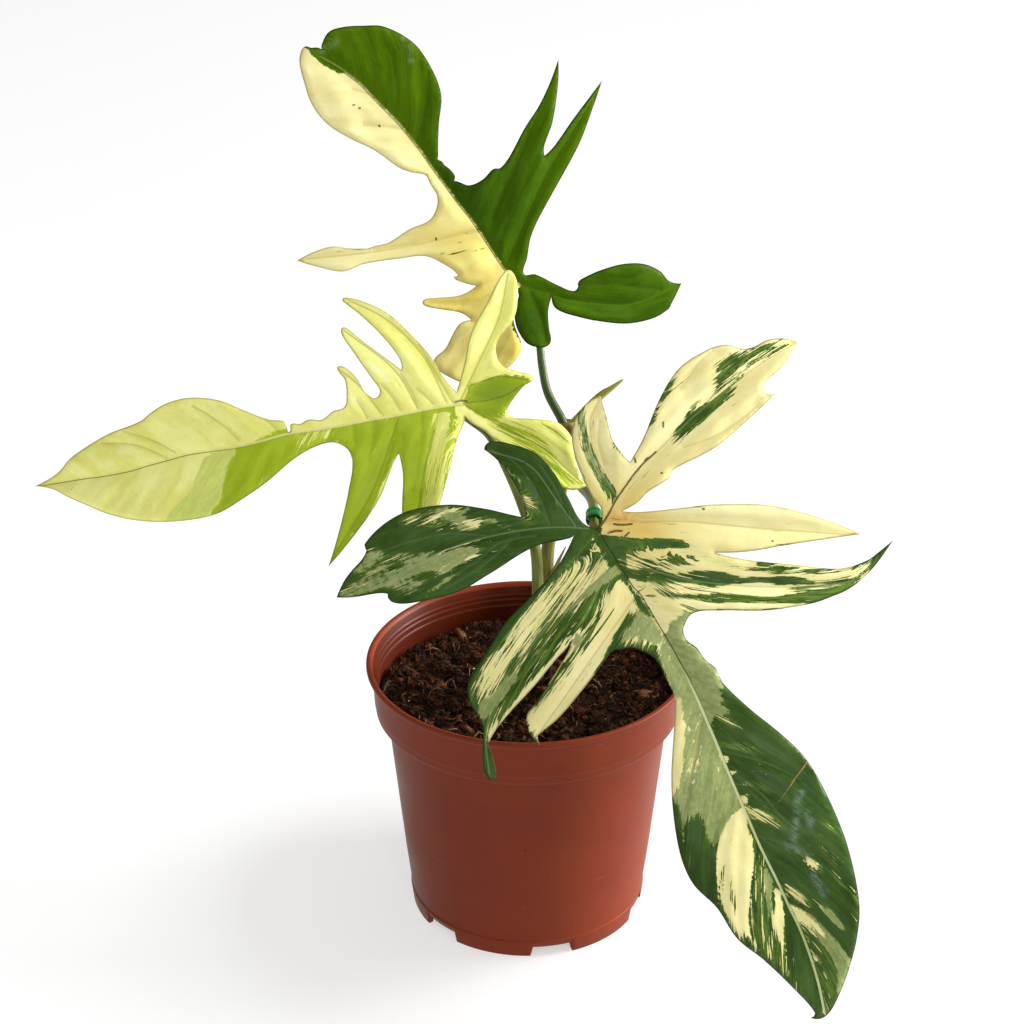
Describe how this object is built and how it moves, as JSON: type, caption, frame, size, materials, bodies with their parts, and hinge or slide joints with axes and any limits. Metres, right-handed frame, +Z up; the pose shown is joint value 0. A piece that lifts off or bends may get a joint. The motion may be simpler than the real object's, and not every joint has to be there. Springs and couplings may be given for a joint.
{
  "type": "potted florida beauty philodendron",
  "caption": "Aroid house plant with deeply lobed variegated leaves on slender petioles, growing in a round tapered nursery pot.",
  "frame": {"origin": "on the surface the pot stands on, under the middle of the whole plant's bounding box; the pot's axis is 27 mm along +X and 30 mm along +Y from it", "axes": "+Z up along the pot's axis; -Y towards the side that the leaves face; the left leaf points along -X"},
  "size_m": [0.306, 0.1804, 0.3397],
  "materials": {
    "terracotta_plastic": "injection moulded, satin, faint turning lines and scuffs",
    "potting_mix": "dark peat and coir crumbs, matte, a few paler chunks and white grains",
    "stem_bark": "smooth olive stem with brown rings at its nodes",
    "petiole_green": "smooth dark green, satin",
    "petiole_olive": "smooth olive green with brownish flecks, satin",
    "leaf_cream_green": "half cream and half green variegation, satin, fine side veins",
    "leaf_lime": "pale yellow and lime variegation, satin, side veins pressed in",
    "leaf_marbled": "dark green, grey-green and cream marbling streaked along the side veins, satin",
    "new_leaf_olive": "rolled new leaf, satin olive",
    "dry_sheath": "thin dry leaf sheath, matte",
    "tie_green_plastic": "soft green plastic tie"
  },
  "bodies": {
    "root": {"pot": "terracotta_plastic", "soil": "potting_mix", "stem": "stem_bark", "petiole_top": "petiole_green", "petiole_left": "petiole_olive", "petiole_front": "petiole_olive", "leaf_top": "leaf_cream_green", "leaf_left": "leaf_lime", "leaf_front": "leaf_marbled", "new_leaf": "new_leaf_olive", "sheath": "dry_sheath", "tie": "tie_green_plastic"}
  },
  "joints": []
}
